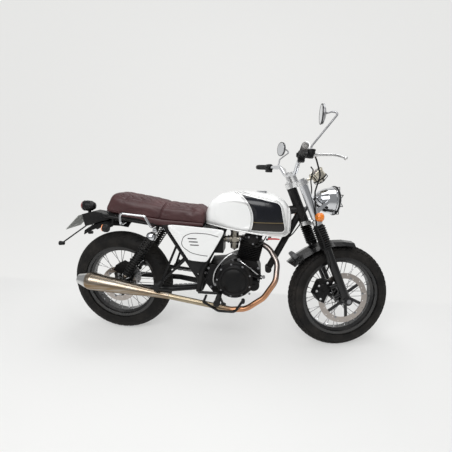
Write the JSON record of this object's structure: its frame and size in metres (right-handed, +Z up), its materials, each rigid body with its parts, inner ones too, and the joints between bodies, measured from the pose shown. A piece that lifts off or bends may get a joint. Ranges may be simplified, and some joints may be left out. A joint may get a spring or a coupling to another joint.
{
  "type": "cafe racer motorcycle",
  "caption": "Retro cafe racer motorcycle with a long quilted seat, round tank, wire wheels, disc brakes and a tapered silencer, leaning on its side stand.",
  "frame": {"origin": "on the ground, under the middle of the bike's box as it stands on its side stand", "axes": "+X forward along the frame's middle plane, +Y to the rider's left, +Z up from the ground"},
  "size_m": [1.9325, 0.856, 1.3363],
  "materials": {
    "black_frame": "satin black paint",
    "gloss_black": "gloss black paint",
    "engine_black": "satin black enamel",
    "white_paint": "gloss white paint",
    "chrome": "polished",
    "cast_alloy": "cast, lightly polished",
    "steel": "zinc plated",
    "disc_steel": "ground",
    "heated_steel": "heat-tinted",
    "brushed_muffler": "brushed, lightly tinted",
    "black_rim": "gloss black",
    "tyre": "matte rubber",
    "rubber": "matte",
    "black_plastic": "textured",
    "lamp_black": "smoked",
    "amber": "clear amber",
    "glass": "clear",
    "leather": "grained, quilted",
    "plate": "plain grey"
  },
  "bodies": {
    "chassis": {"frame": "black_frame", "seat_rails": "black_frame", "swingarm": "black_frame", "rear_axle": "steel", "seat_base": "black_plastic", "seat_pad": "leather", "fuel_tank": "white_paint", "fuel_cap": "chrome", "side_panels": "white_paint", "airbox": "black_plastic", "crankcase": "engine_black", "cylinder": "engine_black", "cylinder_head": "engine_black", "carburettor": "cast_alloy", "exhaust_header": "heated_steel", "muffler": "brushed_muffler", "rear_shocks": "black_frame", "rear_mudguard": "black_plastic", "number_plate": "plate", "tail_light": "lamp_black", "rear_reflectors": "lamp_black", "rear_indicators": "lamp_black", "grab_rails": "chrome", "footrests": "black_frame", "foot_controls": "black_frame", "chain": "steel", "chain_guard": "black_plastic", "rear_caliper": "engine_black", "control_cables": "rubber"},
    "steering": {"yokes": "cast_alloy", "fork_tubes": "chrome", "fork_gaiters": "rubber", "fork_sliders": "gloss_black", "handlebar": "chrome", "grips": "rubber", "hand_controls": "black_plastic", "mirrors": "chrome", "headlight": "chrome", "headlight_lens": "glass", "instrument": "chrome", "lamp_guards": "black_frame", "front_indicators": "amber", "front_mudguard": "gloss_black", "front_caliper": "engine_black", "brake_hose": "rubber", "front_axle": "steel"},
    "front_wheel": {"front_tyre": "tyre", "front_wheel": "black_rim", "front_disc": "disc_steel"},
    "rear_wheel": {"rear_tyre": "tyre", "rear_wheel": "black_rim", "rear_disc": "disc_steel"},
    "side_stand": {"side_stand": "black_frame"}
  },
  "joints": [
    {"name": "steering_turn", "type": "hinge", "parent": "chassis", "child": "steering", "pos_m": [0.76783, -0.14476, -0.00391], "axis": [-0.3962, 0.1278, 0.9092], "range_deg": [-52, 24], "deforming": ["control_cables"]},
    {"name": "front_wheel_spin", "type": "hinge", "parent": "steering", "child": "front_wheel", "pos_m": [0.67277, -0.09501, 0.29293], "axis": [-0.2221, 0.9475, -0.23], "continuous": true},
    {"name": "rear_wheel_spin", "type": "hinge", "parent": "chassis", "child": "rear_wheel", "pos_m": [-0.64628, -0.10024, 0.31293], "axis": [0, 0.9903, -0.1392], "continuous": true},
    {"name": "side_stand_fold", "type": "hinge", "parent": "chassis", "child": "side_stand", "pos_m": [-0.08644, 0.01878, 0.24009], "axis": [0.0014, 0.9205, 0.3907], "range_deg": [0, 95]}
  ]
}
